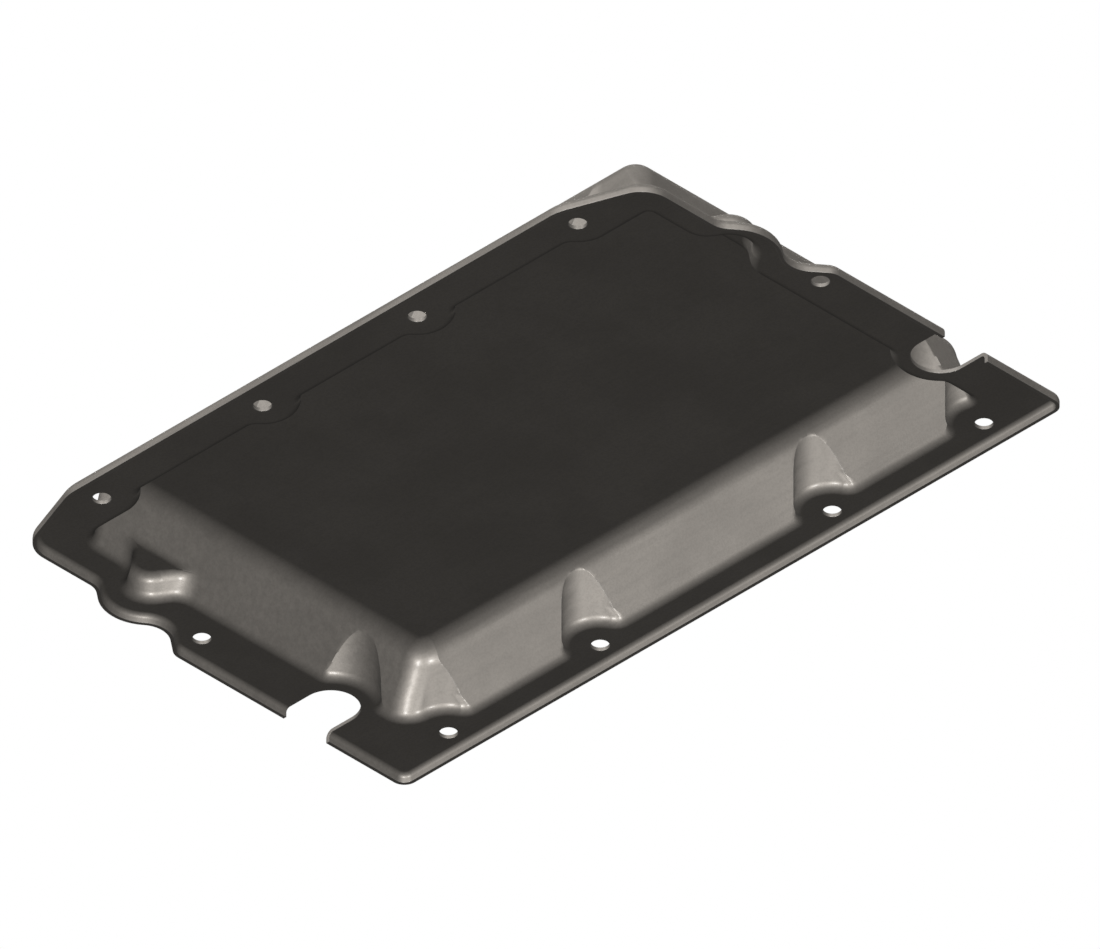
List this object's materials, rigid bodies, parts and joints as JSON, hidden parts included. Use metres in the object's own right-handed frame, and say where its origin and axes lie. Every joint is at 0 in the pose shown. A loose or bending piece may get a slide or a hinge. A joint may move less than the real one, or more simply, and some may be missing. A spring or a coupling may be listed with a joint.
{
  "type": "valve cover",
  "caption": "Pressed sheet-steel valve cover: a deep rectangular dish with sloping walls, hollows round the bolts, and a flat bolting flange with a turned-down lip and open side notches.",
  "frame": {"origin": "middle of the cover's overall length and width, at the lower edge of the lip on which it stands", "axes": "+X along the cover, +Z from the gasket face towards the top of the dish, +Y towards the straight-cornered front of the flange with the notches"},
  "size_m": [0.353, 0.2256, 0.0356],
  "materials": {
    "steel": "bare pressed sheet steel with a satin grey-brown surface and softly worn bends"
  },
  "bodies": {
    "root": {"cover": "steel"}
  },
  "joints": []
}
